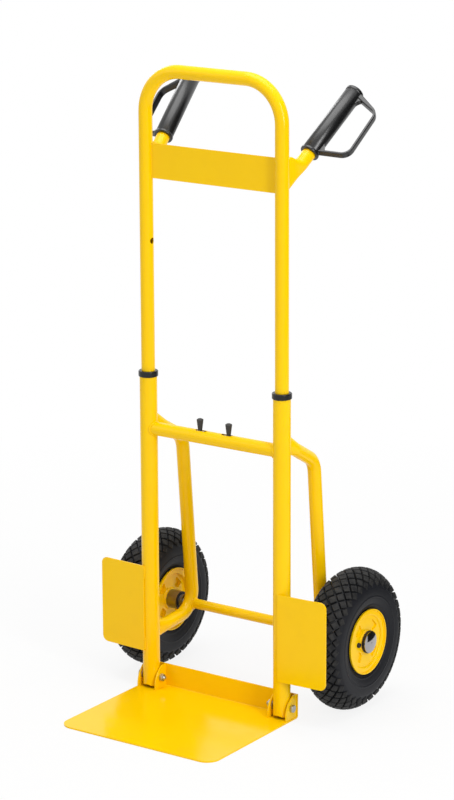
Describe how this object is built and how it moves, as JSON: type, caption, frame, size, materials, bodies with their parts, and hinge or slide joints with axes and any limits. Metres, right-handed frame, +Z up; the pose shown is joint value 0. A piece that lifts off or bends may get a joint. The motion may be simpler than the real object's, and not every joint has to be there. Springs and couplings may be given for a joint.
{
  "type": "hand truck",
  "caption": "Two-wheeled hand truck of yellow tube with a telescopic hoop handle, angled grips with knuckle bows, pneumatic wheels and a folding toe plate.",
  "frame": {"origin": "on the floor, midway between the two stiles, on the plane of their axes", "axes": "+X to the truck's right as seen from the front, +Y to the back, towards the wheels and grips, +Z up"},
  "size_m": [0.519, 0.513, 1.175],
  "materials": {
    "yellow_paint": "glossy golden yellow powder coat",
    "black_plastic": "satin black moulding",
    "lever_plastic": "matte dark grey moulding",
    "bush_plastic": "plain dark moulding, hidden",
    "tyre_rubber": "black moulded rubber with block tread",
    "tube_rubber": "thin smooth black rubber",
    "bright_cap": "bright plated push-on cap",
    "zinc": "bright zinc plate",
    "plain_steel": "plain drawn steel"
  },
  "bodies": {
    "frame": {"axle": "plain_steel", "axle_spacers": "plain_steel", "axle_tube": "yellow_paint", "crossbar": "yellow_paint", "hinge_bolts": "zinc", "hinge_nuts": "zinc", "hinge_washers": "zinc", "left_bow": "yellow_paint", "left_collar": "black_plastic", "left_hub_cap": "bright_cap", "left_latch_spring": "plain_steel", "left_stile": "yellow_paint", "left_wheel_guard": "yellow_paint", "right_bow": "yellow_paint", "right_collar": "black_plastic", "right_hub_cap": "bright_cap", "right_latch_spring": "plain_steel", "right_stile": "yellow_paint", "right_wheel_guard": "yellow_paint", "spring_stop": "bush_plastic"},
    "handle": {"handle_hoop": "yellow_paint", "name_plate": "yellow_paint", "guide_bushes": "bush_plastic", "left_grip_stub": "yellow_paint", "right_grip_stub": "yellow_paint", "left_grip": "black_plastic", "right_grip": "black_plastic"},
    "toe_plate": {"toe_plate": "yellow_paint"},
    "left_wheel": {"left_tyre": "tyre_rubber", "left_inner_tube": "tube_rubber", "left_valve": "tube_rubber", "left_rim": "yellow_paint", "left_outer_disc": "yellow_paint", "left_inner_disc": "yellow_paint", "left_hub": "plain_steel", "left_bearings": "plain_steel", "left_hub_seals": "tube_rubber"},
    "right_wheel": {"right_tyre": "tyre_rubber", "right_inner_tube": "tube_rubber", "right_valve": "tube_rubber", "right_rim": "yellow_paint", "right_outer_disc": "yellow_paint", "right_inner_disc": "yellow_paint", "right_hub": "plain_steel", "right_bearings": "plain_steel", "right_hub_seals": "tube_rubber"},
    "left_latch": {"left_latch_pin": "plain_steel", "left_latch_lever": "lever_plastic"},
    "right_latch": {"right_latch_pin": "plain_steel", "right_latch_lever": "lever_plastic"}
  },
  "joints": [
    {"name": "handle_slide", "type": "slide", "parent": "frame", "child": "handle", "axis": [0, 0, 1], "range_m": [-0.349, 0]},
    {"name": "toe_plate_fold", "type": "hinge", "parent": "frame", "child": "toe_plate", "pos_m": [0, 0, 0.024], "axis": [-1, 0, 0], "range_deg": [0, 90]},
    {"name": "left_wheel_spin", "type": "hinge", "parent": "frame", "child": "left_wheel", "pos_m": [-0.217, 0.1245, 0.132], "axis": [1, 0, 0], "continuous": true},
    {"name": "left_latch_slide", "type": "slide", "parent": "frame", "child": "left_latch", "axis": [-1, 0, 0], "range_m": [-0.007, 0.0044], "stiffness_N_per_m": 800, "deforming": ["left_latch_spring"]},
    {"name": "right_wheel_spin", "type": "hinge", "parent": "frame", "child": "right_wheel", "pos_m": [0.217, 0.1245, 0.132], "axis": [1, 0, 0], "continuous": true},
    {"name": "right_latch_slide", "type": "slide", "parent": "frame", "child": "right_latch", "axis": [1, 0, 0], "range_m": [-0.007, 0.0044], "stiffness_N_per_m": 800, "deforming": ["right_latch_spring"]}
  ]
}
